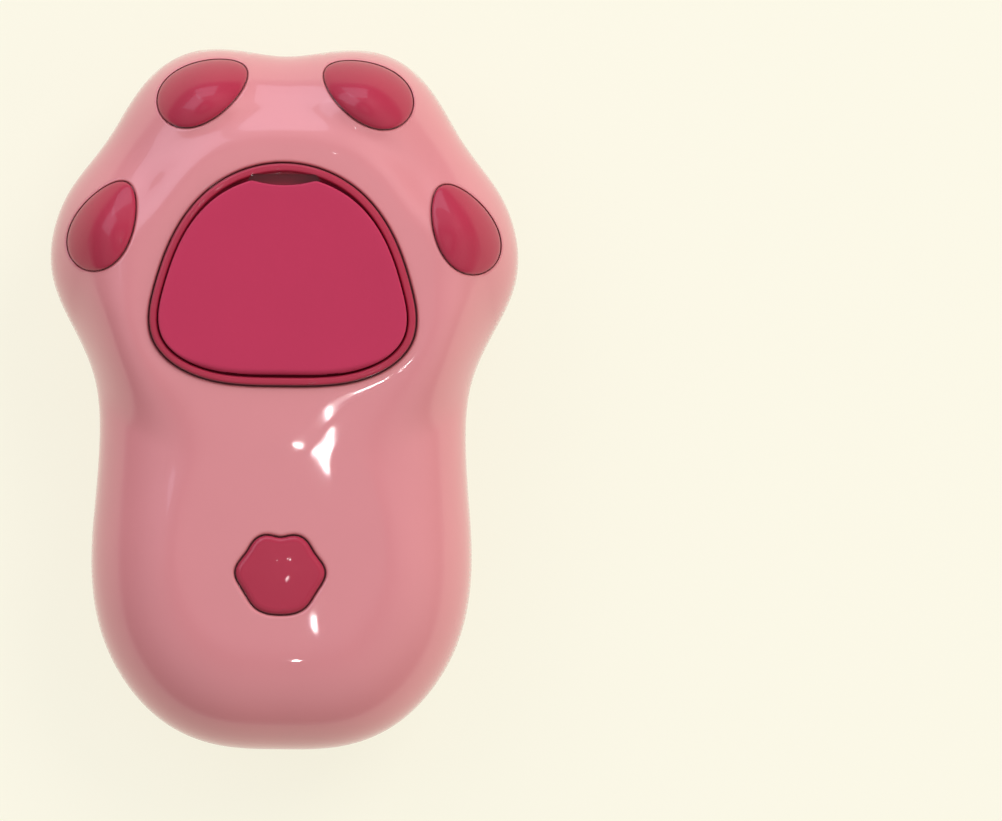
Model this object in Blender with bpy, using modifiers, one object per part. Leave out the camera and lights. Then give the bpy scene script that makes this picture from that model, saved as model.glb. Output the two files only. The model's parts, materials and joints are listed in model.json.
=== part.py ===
"""Paw-shaped pet bath brush with a shampoo tank, as separate pieces that fit together.

X runs across the brush, +Y towards the toes and +Z up to the palm side. The brush stands on its
bristle tips at Z = 0, and the origin is under the middle of its outline. Every size below is in
millimetres. MM turns it into Blender's metres where a mesh is made.
"""

import math

import bmesh
import bpy
import numpy as np
from mathutils import Matrix

MM = 0.001
GAP = 0.3  # clearance between two pieces that touch

# Outline of the shell, seen from above: (angle from the toe end in degrees, distance from the middle).
BODY_OUTLINE = (
    (0, 68.6), (8, 70.4), (15, 71.8), (21, 70.6), (27, 67.2), (33, 63.4), (39, 61.2), (46, 59.7),
    (54, 57.0), (63, 51.8), (72, 44.0), (81, 38.9), (90, 37.0), (99, 37.1), (108, 38.7), (120, 43.3),
    (132, 51.1), (142, 58.6), (152, 64.9), (161, 68.8), (170, 70.1), (180, 69.75),
)
AROUND = 64  # corners round the outline

# Heights of the shell
BRISTLE_LENGTH = 15.0
SEAM_Z = 22.0  # widest contour, where the two shells meet
SHOULDER_HEIGHT = 16.5
SHOULDER_WIDTH = 22.0
SHOULDER_POWER = 2.2
CROWN_HEIGHT = 3.2
CROWN_HALF_WIDTH = 47.0
CROWN_HALF_LENGTH = 95.0
WALL = 2.2

# Palm opening and the mound round it
PALM_MIDDLE_Y = 22.0
PALM_OUTLINE = (
    (0, 25.1), (38, 24.7), (68, 24.4), (90, 25.7), (111, 27.8), (133, 25.0), (154, 21.3), (180, 19.4),
)
PALM_Z = 41.6
PALM_FLAT = 1.5  # the mound stays flat this far outside the opening
PALM_FADE = 13.5
VALLEY_DEPTH = 1.6
VALLEY_AT = 9.0
VALLEY_WIDTH = 3.5

# Toe pads: (middle x, middle y, direction of the narrow end in degrees from +X), right-hand side
TOES = ((16.3, 61.2, 152.0), (35.6, 34.3, 118.0))
TOE_LENGTH = 9.4  # half length
TOE_WIDTH = 5.7  # half width
TOE_TAPER = 0.22
TOE_BUMP = 2.4  # the shell swells under each toe
TOE_BUMP_RADIUS = 11.0
TOE_POCKET = 1.6
TOE_PROUD = 1.5
TOE_PEG = 1.5  # radius

# Brush side
RIM_WIDTH = 4.6
PAD_Z = BRISTLE_LENGTH
PAD_THICKNESS = 2.0
CARRIER_Z = PAD_Z + PAD_THICKNESS + GAP
CARRIER_THICKNESS = 2.0
CARRIER_TOP = CARRIER_Z + CARRIER_THICKNESS
BRISTLE_BASE = 2.7
BRISTLE_TIP = 1.4
BRISTLE_FLAT = 0.7
# Rows from the tail to the toes: (y, offsets from the centre line on one side, 0 for a middle bristle)
BRISTLE_ROWS = (
    (-52.5, (6.0, 18.0)), (-40.3, (0.0, 12.2, 24.0)), (-28.1, (0.0, 12.2, 24.0)),
    (-16.1, (0.0, 12.2, 24.0)), (-3.7, (0.0, 12.2, 24.0)), (8.6, (12.9, 25.0)),
    (21.1, (6.2, 18.4, 30.3)), (31.7, (6.2, 18.4, 30.3)), (43.9, (0.0, 11.7, 23.6)),
    (55.5, (0.0, 12.4)),
)

# Roller ball and its valve, on one upright axis
BALL_Y = 8.4
BALL_RADIUS = 5.5
BALL_Z = 16.4
SEAT_RADIUS = BALL_RADIUS + 0.2
SEAL_LIP = 5.15
BORE = 5.95
SLEEVE = 7.2
COLLAR = 8.75
HOUSING = 7.6

# Tank under the palm
TANK_TOP = 36.7
TANK_FLOOR = 30.0
TANK_DEEP_FLOOR = 21.0
TANK_STEP_Y = 19.0
TANK_WALL = 1.5
AIR_INLET = (10.0, 0.9, 33.4)  # outer end of the tank's air nipple

# Lid
RING_TOP = 42.9
LEDGE_Z = 40.2
MOUTH = 6.0  # inset of the fill mouth from the palm outline
LID_TOP = 43.8
LID_BOTTOM = 41.0
LID_INSET = 2.05
NOTCH_RADIUS = 22.0  # finger notch in the toe end of the lid
NOTCH_Y = 42.5
HINGE_Y = 6.25
HINGE_Z = 42.1
EAR_X = 10.0
EAR_THICKNESS = 1.6
EAR_RADIUS = 1.05

# Pump button
BUTTON_Y = -34.6
BUTTON_OUTLINE = (
    (0, 7.3), (20, 8.2), (36, 8.4), (55, 7.9), (70, 8.25), (88, 8.8), (104, 8.15), (122, 7.75),
    (142, 8.05), (163, 7.95), (180, 7.8),
)
BUTTON_TRAVEL = 2.5
BUTTON_FLANGE = 1.2  # width and thickness of the flange under the shell
BUTTON_FLANGE_Z = 38.4
PUMP_TOP = BUTTON_FLANGE_Z - BUTTON_FLANGE - BUTTON_TRAVEL - 0.6
PUMP_BASE_TOP = 21.4
BULB_TOP = 32.2
NIPPLE_Z = 20.5  # air outlet of the pump

SCREWS = ((20.0, -50.0), (24.0, -6.0), (17.0, 50.0))  # right-hand side, mirrored
SCREW_RADIUS = 1.2
SCREW_HEAD = 2.2
BOSS = 2.6


# ---------------------------------------------------------------- scene, materials and objects

for old in list(bpy.data.objects):
    bpy.data.objects.remove(old, do_unlink=True)

pieces = bpy.data.collections.new("paw_bath_brush")
cutters = bpy.data.collections.new("cutters")
bpy.context.scene.collection.children.link(pieces)
bpy.context.scene.collection.children.link(cutters)


def material(name, colour, roughness, metallic=0.0):
    made = bpy.data.materials.new(name)
    made.use_nodes = True
    shader = made.node_tree.nodes["Principled BSDF"]
    shader.inputs["Base Color"].default_value = (*colour, 1.0)
    shader.inputs["Roughness"].default_value = roughness
    shader.inputs["Metallic"].default_value = metallic
    return made


SHELL_PINK = material("gloss_pink_shell", (0.72, 0.27, 0.29), 0.12)
MAGENTA_GLOSS = material("gloss_magenta", (0.42, 0.06, 0.10), 0.10)
LID_MATTE = material("matte_magenta_lid", (0.50, 0.04, 0.09), 0.5)
SILICONE = material("pink_silicone", (0.66, 0.21, 0.21), 0.45)
STEEL = material("polished_steel", (0.45, 0.42, 0.38), 0.15, 1.0)
SPRING_STEEL = material("spring_steel", (0.5, 0.5, 0.5), 0.3, 1.0)
DARK_RUBBER = material("dark_rubber", (0.03, 0.02, 0.03), 0.5)
INNER_PLASTIC = material("white_inner_plastic", (0.75, 0.72, 0.70), 0.4)
CLEAR_SILICONE = material("pale_silicone", (0.8, 0.75, 0.72), 0.35)


def place(obj, name, finish, helper=False):
    """Names an object, gives it its finish and puts it with the pieces or with the cutters."""
    obj.name = name
    for collection in list(obj.users_collection):
        collection.objects.unlink(obj)
    (cutters if helper else pieces).objects.link(obj)
    if helper:
        obj.hide_render = True
        obj.display_type = "WIRE"
    if finish is not None:
        obj.data.materials.clear()
        obj.data.materials.append(finish)
    return obj


def mesh_object(name, mesh, finish, helper=False):
    return place(bpy.data.objects.new(name, mesh), name, finish, helper)


def smooth(obj, angle=35.0):
    obj.data.shade_smooth()
    obj.data.set_sharp_from_angle(angle=math.radians(angle))
    return obj


def loft(name, rings, finish=None, helper=False, closed=False, tips=None):
    """Skin over rings of (x, y, z) points that all have the same count.

    Rings run so that the faces point outwards. closed joins the last ring to the first, and tips
    gives the two end points that close a skin which isn't a closed loop.
    """
    around = len(rings[0])
    points = [tuple(np.asarray(p) * MM) for ring in rings for p in ring]
    steps = len(rings) if closed else len(rings) - 1
    faces = []
    for i in range(steps):
        low, high = i * around, ((i + 1) % len(rings)) * around
        for j in range(around):
            k = (j + 1) % around
            faces.append((low + j, low + k, high + k, high + j))
    if tips is not None:
        first, last = len(points), len(points) + 1
        points += [tuple(np.asarray(p) * MM) for p in tips]
        end = (len(rings) - 1) * around
        for j in range(around):
            k = (j + 1) % around
            faces.append((first, k, j))
            faces.append((last, end + j, end + k))
    mesh = bpy.data.meshes.new(name)
    mesh.from_pydata(points, [], faces)
    return smooth(mesh_object(name, mesh, finish, helper))


def plate(name, outlines, low, high, finish=None, helper=False):
    """Flat plate between two heights. A second outline inside the first is a hole."""
    curve = bpy.data.curves.new(name, "CURVE")
    curve.dimensions = "2D"
    curve.fill_mode = "BOTH"
    curve.extrude = (high - low) / 2 * MM
    for outline in outlines:
        spline = curve.splines.new("POLY")
        spline.points.add(len(outline) - 1)
        for point, (x, y) in zip(spline.points, outline):
            point.co = (x * MM, y * MM, 0.0, 1.0)
        spline.use_cyclic_u = True
    guide = mesh_object(name + "_outline", curve, None)
    guide.location.z = (low + high) / 2 * MM
    return as_mesh(guide, name, finish, helper)


def as_mesh(guide, name, finish, helper=False):
    """The mesh of a curve object, with its caps welded on, in the curve's place."""
    bpy.context.view_layer.update()
    graph = bpy.context.evaluated_depsgraph_get()
    mesh = bpy.data.meshes.new_from_object(guide.evaluated_get(graph))
    shape = bmesh.new()
    shape.from_mesh(mesh)
    bmesh.ops.remove_doubles(shape, verts=shape.verts, dist=0.00001)
    bmesh.ops.recalc_face_normals(shape, faces=shape.faces)
    shape.to_mesh(mesh)
    shape.free()
    made = mesh_object(name, mesh, finish, helper)
    made.matrix_world = guide.matrix_world
    bpy.data.objects.remove(guide, do_unlink=True)
    return made


def turned(name, profile, finish, at=(0.0, 0.0), sides=16, closed=True, helper=False):
    """Turned piece: (radius, z) points that run down the outer side and back up the inner one."""
    points = [(radius * MM, 0.0, z * MM) for radius, z in profile]
    edges = [(i, i + 1) for i in range(len(points) - 1)]
    if closed:
        edges.append((len(points) - 1, 0))
    mesh = bpy.data.meshes.new(name)
    mesh.from_pydata(points, edges, [])
    obj = mesh_object(name, mesh, finish, helper)
    screw = obj.modifiers.new("turn", "SCREW")
    screw.steps = sides
    screw.render_steps = sides
    screw.use_merge_vertices = True
    screw.merge_threshold = 0.00001
    screw.use_smooth_shade = True
    obj.location = (at[0] * MM, at[1] * MM, 0.0)
    return obj


def drum(name, radius, low, high, at=(0.0, 0.0), sides=16, finish=None, helper=False, top=None):
    """Upright cylinder or cone between two heights."""
    shape = bmesh.new()
    bmesh.ops.create_cone(
        shape, cap_ends=True, segments=sides, radius1=radius * MM,
        radius2=(radius if top is None else top) * MM, depth=(high - low) * MM,
        matrix=Matrix.Translation((at[0] * MM, at[1] * MM, (low + high) / 2 * MM)),
    )
    mesh = bpy.data.meshes.new(name)
    shape.to_mesh(mesh)
    shape.free()
    return mesh_object(name, mesh, finish, helper)


def rod(name, radius, start, end, finish=None, helper=False, sides=12):
    """Straight cylinder between two points."""
    way = np.subtract(end, start)
    length = float(np.linalg.norm(way))
    turn = Matrix(((1, 0, 0), (0, 1, 0), (0, 0, 1)))
    if abs(way[2]) < length * 0.999:
        from_up = np.cross((0.0, 0.0, 1.0), way / length)
        angle = math.acos(way[2] / length)
        turn = Matrix.Rotation(angle, 3, tuple(from_up / np.linalg.norm(from_up)))
    middle = np.add(start, end) / 2 * MM
    shape = bmesh.new()
    bmesh.ops.create_cone(
        shape, cap_ends=True, segments=sides, radius1=radius * MM, radius2=radius * MM,
        depth=length * MM, matrix=Matrix.Translation(tuple(middle)) @ turn.to_4x4(),
    )
    mesh = bpy.data.meshes.new(name)
    shape.to_mesh(mesh)
    shape.free()
    return mesh_object(name, mesh, finish, helper)


def block(name, low, high, finish=None, helper=True):
    """Box between two corners."""
    size = np.subtract(high, low) * MM
    middle = np.add(low, high) / 2 * MM
    shape = bmesh.new()
    bmesh.ops.create_cube(
        shape, size=1.0, matrix=Matrix.Translation(tuple(middle)) @ Matrix.Diagonal((*size, 1.0))
    )
    mesh = bpy.data.meshes.new(name)
    shape.to_mesh(mesh)
    shape.free()
    return mesh_object(name, mesh, finish, helper)


def combine(obj, others, operation):
    """Boolean modifiers that cut the others from obj or join them to it."""
    for other in others:
        step = obj.modifiers.new(other.name, "BOOLEAN")
        step.operation = operation
        step.object = other
    return obj


def coil(name, radius, wire, low, high, turns, at, finish, per_turn=10):
    """Compression spring as a wire wound round an upright axis."""
    curve = bpy.data.curves.new(name, "CURVE")
    curve.dimensions = "3D"
    curve.bevel_depth = wire * MM
    curve.bevel_resolution = 0
    curve.use_fill_caps = True
    count = int(turns * per_turn) + 1
    spline = curve.splines.new("POLY")
    spline.points.add(count - 1)
    for i in range(count):
        angle = 2 * math.pi * i / per_turn
        z = low + wire + (high - low - 2 * wire) * i / (count - 1)
        spline.points[i].co = (
            (at[0] + radius * math.cos(angle)) * MM, (at[1] + radius * math.sin(angle)) * MM, z * MM, 1,
        )
    return mesh_object(name, curve, finish)


# ---------------------------------------------------------------- outlines and the shell's surface


def even_curve(points):
    """Smooth closed curve through (degrees, value) points, mirrored at 0 and at 180 degrees.

    It is a cubic spline whose slope is zero at both ends, returned as a function of an angle in
    radians.
    """
    knots = np.radians([p[0] for p in points])
    values = np.array([p[1] for p in points], float)
    step = np.diff(knots)
    slope = np.diff(values) / step
    count = len(knots)
    left = np.zeros((count, count))
    right = np.zeros(count)
    left[0, :2] = 2 * step[0], step[0]
    left[-1, -2:] = step[-1], 2 * step[-1]
    right[0], right[-1] = 6 * slope[0], -6 * slope[-1]
    for i in range(1, count - 1):
        left[i, i - 1 : i + 2] = step[i - 1], 2 * (step[i - 1] + step[i]), step[i]
        right[i] = 6 * (slope[i] - slope[i - 1])
    bend = np.linalg.solve(left, right)

    def value(angle):
        angle = np.abs((np.asarray(angle, float) + math.pi) % (2 * math.pi) - math.pi)
        i = np.clip(np.searchsorted(knots, angle, side="right") - 1, 0, count - 2)
        a, b = knots[i + 1] - angle, angle - knots[i]
        h = step[i]
        return (
            (bend[i] * a**3 + bend[i + 1] * b**3) / (6 * h)
            + (values[i] / h - bend[i] * h / 6) * a
            + (values[i + 1] / h - bend[i + 1] * h / 6) * b
        )

    return value


body_radius = even_curve(BODY_OUTLINE)
palm_radius = even_curve(PALM_OUTLINE)
button_radius = even_curve(BUTTON_OUTLINE)


def stretch(radius_at, angle):
    """How much longer a radial step is than the step square to the outline."""
    tiny = 0.01
    rate = (radius_at(angle + tiny) - radius_at(angle - tiny)) / (2 * tiny)
    return np.sqrt(1 + (rate / radius_at(angle)) ** 2)


def outline(radius_at, inset, middle_y=0.0, count=AROUND):
    """Points round an outline, moved inwards by inset, anticlockwise from above."""
    angle = -np.arange(count) * 2 * math.pi / count
    radius = radius_at(angle) - inset * stretch(radius_at, angle)
    return np.stack([radius * np.sin(angle), middle_y + radius * np.cos(angle)], axis=1)


def edge_distance(radius_at, x, y, middle_y=0.0):
    """Distance from a point to an outline, positive inside."""
    angle = np.arctan2(x, y - middle_y)
    return (radius_at(angle) - np.hypot(x, y - middle_y)) / stretch(radius_at, angle)


def fade(value, start, end):
    """1 below start, 0 above end, with a smooth step between."""
    t = np.clip((value - start) / (end - start), 0.0, 1.0)
    return 1 - t * t * (3 - 2 * t)


def height(x, y):
    """Height of the outer surface of the top shell over the point (x, y).

    A rounded shoulder rises from the seam and a low crown lies over it. Each toe adds a swelling,
    a valley runs between the toes and the palm, and the palm opening sits on a flat mound.
    """
    x, y = np.asarray(x, float), np.asarray(y, float)
    t = np.clip(edge_distance(body_radius, x, y) / SHOULDER_WIDTH, 0.0, 1.0)
    rise = (1 - (1 - t) ** SHOULDER_POWER) ** (1 / SHOULDER_POWER)
    crown = CROWN_HEIGHT * (1 - (x / CROWN_HALF_WIDTH) ** 2) * (1 - (y / CROWN_HALF_LENGTH) ** 2)
    outside = -edge_distance(palm_radius, x, y, PALM_MIDDLE_Y)
    toe_side = 1 - fade(np.cos(np.arctan2(x, y - PALM_MIDDLE_Y)), 0.0, 0.6)
    extra = crown - VALLEY_DEPTH * toe_side * np.exp(-(((outside - VALLEY_AT) / VALLEY_WIDTH) ** 2))
    for toe_x, toe_y, _ in TOES:
        for side in (-1, 1):
            reach = np.hypot(x - side * toe_x, y - toe_y) / TOE_BUMP_RADIUS
            extra = extra + TOE_BUMP * np.exp(-(reach**2) * 2)
    z = SEAM_Z + rise * (SHOULDER_HEIGHT + extra)
    mound = fade(outside, PALM_FLAT, PALM_FLAT + PALM_FADE)
    return z * (1 - mound) + PALM_Z * mound


def on_shell(points, offset):
    """(x, y) points lifted to a height offset above the shell's surface."""
    points = np.asarray(points, float)
    return np.column_stack([points, height(points[:, 0], points[:, 1]) + offset])


def at_height(points, z):
    points = np.asarray(points, float)
    return np.column_stack([points, np.full(len(points), z)])


# ---------------------------------------------------------------- shells

SHELL_INSETS = (0.0, 0.45, 1.5, 3.4, 6.2, 10.0, 14.5)
INNER_SCALES = (0.84, 0.62, 0.36)


def top_shell():
    """Open dome given its wall, then cut for the palm, the toe pads and the button."""
    rings = [on_shell(outline(body_radius, inset), 0.0) for inset in SHELL_INSETS]
    rings[0][:, 2] = SEAM_Z + GAP / 2
    last = rings[-1][:, :2]
    rings += [on_shell(last * scale, 0.0) for scale in INNER_SCALES]
    around = AROUND
    points = [tuple(p * MM) for ring in rings for p in ring]
    middle = len(points)
    points.append((0.0, 0.0, float(height(0.0, 0.0)) * MM))
    faces = []
    for i in range(len(rings) - 1):
        for j in range(around):
            k = (j + 1) % around
            faces.append((i * around + j, i * around + k, (i + 1) * around + k, (i + 1) * around + j))
    end = (len(rings) - 1) * around
    faces += [(middle, end + j, end + (j + 1) % around) for j in range(around)]
    mesh = bpy.data.meshes.new("top_shell")
    mesh.from_pydata(points, [], faces)
    shell = smooth(mesh_object("top_shell", mesh, SHELL_PINK), 50.0)
    wall = shell.modifiers.new("wall", "SOLIDIFY")
    wall.thickness = WALL * MM
    wall.offset = -1.0
    wall.use_even_offset = True

    bosses = []
    for number, (x, y) in enumerate(screw_places()):
        rim = [(x + BOSS * math.cos(a), y + BOSS * math.sin(a)) for a in np.arange(8) * math.pi / 4]
        top = min(float(height(*p)) for p in rim) - 0.5
        low = CARRIER_TOP + GAP
        bosses.append(drum(f"boss_{number}", BOSS, low, top, (x, y), 10, helper=True))
    combine(shell, bosses, "UNION")

    holes = [
        drum(f"boss_hole_{i}", SCREW_RADIUS + GAP, CARRIER_TOP - 1, 28.5, spot, 8, helper=True)
        for i, spot in enumerate(screw_places())
    ]
    holes.append(plate("palm_opening", [palm_line(0.0)], 34, 46, helper=True))
    holes.append(plate("button_opening", [button_line(GAP)], 34, 46, helper=True))
    for number, (x, y, angle) in enumerate(toe_places(), start=1):
        levels = ((GAP, -TOE_POCKET), (GAP, 8.0))
        pocket = toe_plug(f"toe_pocket_{number}", x, y, angle, levels, helper=True)
        centre = float(height(x, y))
        peg = drum(f"toe_hole_{number}", TOE_PEG + GAP, centre - 7, centre, (x, y), 10, helper=True)
        holes += [pocket, peg]
    return combine(shell, holes, "DIFFERENCE")


def screw_places():
    return [(side * x, y) for x, y in SCREWS for side in (-1, 1)]


def toe_places():
    """Middle and direction of the four toe pads, from the left side toe to the right one."""
    (top_x, top_y, top_turn), (side_x, side_y, side_turn) = TOES
    return [
        (-side_x, side_y, 180 - side_turn), (-top_x, top_y, 180 - top_turn),
        (top_x, top_y, top_turn), (side_x, side_y, side_turn),
    ]


def egg(x, y, angle, grow, count=20):
    """Egg-shaped outline whose narrow end points along angle."""
    turn = np.arange(count) * 2 * math.pi / count
    along = (TOE_LENGTH + grow) * np.cos(turn)
    across = (TOE_WIDTH + grow) * np.sin(turn) * (1 - TOE_TAPER * np.cos(turn))
    c, s = math.cos(math.radians(angle)), math.sin(math.radians(angle))
    return np.stack([x + along * c - across * s, y + along * s + across * c], axis=1)


def toe_plug(name, x, y, angle, levels, finish=None, helper=False):
    """Plug that follows the shell: levels are (growth of the outline, offset from the surface)."""
    first, last = levels[0][1], levels[-1][1]
    inner = -TOE_WIDTH * 0.55
    rings = [on_shell(egg(x, y, angle, inner), first)]
    rings += [on_shell(egg(x, y, angle, grow), offset) for grow, offset in levels]
    rings.append(on_shell(egg(x, y, angle, inner), last + (0.0 if helper else 0.15)))
    centre = float(height(x, y))
    tips = ((x, y, centre + first), (x, y, centre + last + (0.0 if helper else 0.2)))
    return loft(name, rings, finish, helper, tips=tips)


def toe_pads():
    """Four glossy domes, each with a peg that goes through the shell."""
    levels = (
        (0.0, GAP - TOE_POCKET), (0.0, 0.35), (-0.5, 0.95), (-1.5, 0.93 * TOE_PROUD),
    )
    for number, (x, y, angle) in enumerate(toe_places(), start=1):
        pad = toe_plug(f"toe_pad_{number}", x, y, angle, levels, MAGENTA_GLOSS)
        centre = float(height(x, y))
        peg = drum(f"toe_peg_{number}", TOE_PEG, centre - 5.0, centre - 0.5, (x, y), 10, helper=True)
        combine(pad, [peg], "UNION")


def bottom_shell():
    """Rim that turns under to the brush pad, with an inner flange for the carrier."""
    curl_width, curl_low = 3.4, PAD_Z - 0.6
    curl = [
        (curl_width * (1 - math.cos(a)), SEAM_Z - GAP / 2 - (SEAM_Z - GAP / 2 - curl_low) * math.sin(a))
        for a in np.linspace(0, math.pi / 2, 6)
    ]
    flange = CARRIER_TOP + GAP
    section = curl + [
        (RIM_WIDTH - 0.35, PAD_Z - 0.35), (RIM_WIDTH, PAD_Z + 0.4), (RIM_WIDTH, flange), (9.0, flange),
        (9.0, flange + 1.6), (2.6, flange + 1.6), (2.6, SEAM_Z - GAP / 2),
    ]
    rings = [at_height(outline(body_radius, inset), z) for inset, z in reversed(section)]
    return loft("bottom_shell", rings, SHELL_PINK, closed=True)


def pad_carrier():
    """Stiff base plate behind the brush pad, held by six screws."""
    edge = outline(body_radius, RIM_WIDTH + GAP)
    base = plate("pad_carrier", [edge], CARRIER_Z, CARRIER_TOP, INNER_PLASTIC)
    low, high = CARRIER_Z - 1, CARRIER_TOP + 1
    cuts = [drum("carrier_bore", HOUSING + 1.6, low, high, (0, BALL_Y), 24, helper=True)]
    for i, spot in enumerate(screw_places()):
        cuts.append(drum(f"carrier_hole_{i}", SCREW_RADIUS + GAP, low, high, spot, 8, helper=True))
        cuts.append(
            drum(f"counterbore_{i}", SCREW_HEAD + GAP, low, CARRIER_Z + 1.2, spot, 10, helper=True)
        )
    return combine(base, cuts, "DIFFERENCE")


def housing_screws():
    head_low, head_high = CARRIER_Z + 0.3, CARRIER_Z + 1.1
    profile = (
        (0.0, 27.5), (SCREW_RADIUS * 0.5, 27.2), (SCREW_RADIUS, 26.0), (SCREW_RADIUS, head_high),
        (SCREW_HEAD, head_high), (SCREW_HEAD - 0.4, head_low), (0.0, head_low),
    )
    for number, spot in enumerate(screw_places(), start=1):
        turned(f"housing_screw_{number}", profile, SPRING_STEEL, spot, 10, closed=False)


# ---------------------------------------------------------------- brush pad


def bristle_places():
    spots = []
    for y, offsets in BRISTLE_ROWS:
        for x in offsets:
            spots += [(x, y)] if x == 0 else [(-x, y), (x, y)]
    return spots


def brush_pad():
    """Silicone sheet with its bristles, moulded in one piece."""
    edge = outline(body_radius, RIM_WIDTH + GAP)
    sheet = plate("brush_pad", [edge], PAD_Z, PAD_Z + PAD_THICKNESS, SILICONE)
    sides = 6
    points, faces = [], []
    levels = ((BRISTLE_FLAT, 0.0), (BRISTLE_TIP, 1.0), (BRISTLE_BASE, PAD_Z + 0.8))
    for x, y in bristle_places():
        base = len(points)
        for radius, z in levels:
            for j in range(sides):
                a = 2 * math.pi * j / sides
                corner = (x + radius * math.cos(a), y + radius * math.sin(a), z)
                points.append(tuple(value * MM for value in corner))
        for i in range(len(levels) - 1):
            for j in range(sides):
                k = (j + 1) % sides
                low, high = base + i * sides, base + (i + 1) * sides
                faces.append((low + j, low + k, high + k, high + j))
        faces.append(tuple(base + j for j in reversed(range(sides))))
        faces.append(tuple(base + (len(levels) - 1) * sides + j for j in range(sides)))
    mesh = bpy.data.meshes.new("bristles")
    mesh.from_pydata(points, [], faces)
    bristles = mesh_object("bristles", mesh, None, helper=True)
    low, high = PAD_Z - 1, PAD_Z + PAD_THICKNESS + 1
    hole = drum("pad_hole", SLEEVE + 0.4, low, high, (0, BALL_Y), 24, helper=True)
    combine(sheet, [hole], "DIFFERENCE")
    return combine(sheet, [bristles], "UNION")


# ---------------------------------------------------------------- roller ball valve


def roller_valve():
    at = (0.0, BALL_Y)
    top, floor, foot = TANK_FLOOR - 1.4, CARRIER_TOP + GAP, CARRIER_Z + 0.1
    skirt, socket = HOUSING + 1.3, SLEEVE + GAP
    turned("outlet_housing", (
        (2.4, TANK_FLOOR + 2.3), (2.4, top), (HOUSING, top), (HOUSING, floor + 1.4), (11.0, floor + 1.4),
        (11.0, floor), (skirt, floor), (skirt, foot), (socket, foot), (socket, 20.0), (BORE, 20.0),
        (BORE, top - 1.6), (1.4, top - 1.6), (1.4, TANK_FLOOR + 2.3),
    ), INNER_PLASTIC, at)
    turned("ball_collar", (
        (SLEEVE, 19.6), (SLEEVE, PAD_Z - GAP), (COLLAR, PAD_Z - GAP), (COLLAR, 14.2), (COLLAR - 0.4, 13.9),
        (BORE, 13.9), (BORE, 19.6),
    ), SHELL_PINK, at, 24)
    turned("ball_seal", (
        (BORE - 0.1, 15.5), (BORE - 0.1, 13.95), (SEAL_LIP, 13.95), (SEAL_LIP, 14.3), (5.7, 15.5),
    ), DARK_RUBBER, at, 24)
    seat = [(math.sqrt(SEAT_RADIUS**2 - (z - BALL_Z) ** 2), z) for z in (18.8, 19.8, 20.8, 21.7)]
    cup_top = 22.9
    turned("ball_cup", [(1.6, cup_top), (BORE - 0.35, cup_top), (BORE - 0.35, 18.8)] + seat
           + [(1.6, 21.9)], INNER_PLASTIC, at)
    coil("valve_spring", 4.0, 0.4, cup_top + 0.1, top - 1.7, 3, at, SPRING_STEEL)
    bpy.ops.mesh.primitive_uv_sphere_add(
        segments=16, ring_count=10, radius=BALL_RADIUS * MM, location=(0, BALL_Y * MM, BALL_Z * MM)
    )
    ball = place(bpy.context.active_object, "roller_ball", STEEL)
    ball.data.shade_smooth()
    bpy.ops.mesh.primitive_torus_add(
        major_segments=16, minor_segments=6, major_radius=3.3 * MM, minor_radius=0.5 * MM,
        location=(0, BALL_Y * MM, (TANK_FLOOR - 0.7) * MM),
    )
    ring = place(bpy.context.active_object, "outlet_o_ring", DARK_RUBBER)
    ring.data.shade_smooth()


# ---------------------------------------------------------------- tank, palm ring and lid


def palm_line(inset, count=40):
    return outline(palm_radius, inset, PALM_MIDDLE_Y, count)


def behind_step(points, y):
    """An outline with the part nearer the tail than y cut off."""
    points = np.array(points)
    points[:, 1] = np.maximum(points[:, 1], y)
    keep = [i for i in range(len(points)) if points[i, 1] > y or points[i - 1, 1] > y
            or points[(i + 1) % len(points), 1] > y]
    return points[keep]


def reservoir_tub():
    """Open tank with a shallow end over the ball valve and a deep end under the toe side."""
    tub = plate("reservoir_tub", [palm_line(1.5)], TANK_FLOOR, TANK_TOP, CLEAR_SILICONE)
    flange = plate("tub_flange", [palm_line(-1.5)], TANK_TOP - 1.5, TANK_TOP - 0.01, helper=True)
    deep_line = behind_step(palm_line(1.52), TANK_STEP_Y)
    deep = plate("tub_deep", [deep_line], TANK_DEEP_FLOOR, TANK_FLOOR + 1, helper=True)
    x, y, z = AIR_INLET
    nipple = rod("tub_nipple", 1.3, AIR_INLET, (x, y + 4.3, z), helper=True)
    combine(tub, [flange, deep, nipple], "UNION")
    cavity = plate(
        "tub_cavity", [palm_line(1.5 + TANK_WALL)], TANK_FLOOR + TANK_WALL, TANK_TOP + 2, helper=True
    )
    deep_cavity = plate(
        "tub_deep_cavity", [behind_step(palm_line(1.55 + TANK_WALL), TANK_STEP_Y + TANK_WALL)],
        TANK_DEEP_FLOOR + TANK_WALL, TANK_FLOOR + 3, helper=True,
    )
    outlet = drum("tub_outlet", 2.7, TANK_FLOOR - 2, TANK_FLOOR + 3, (0, BALL_Y), 16, helper=True)
    air_way = rod("tub_air_way", 0.7, (x, y - 0.4, z), (x, y + 7.1, z), helper=True, sides=8)
    return combine(tub, [cavity, deep_cavity, outlet, air_way], "DIFFERENCE")


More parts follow.
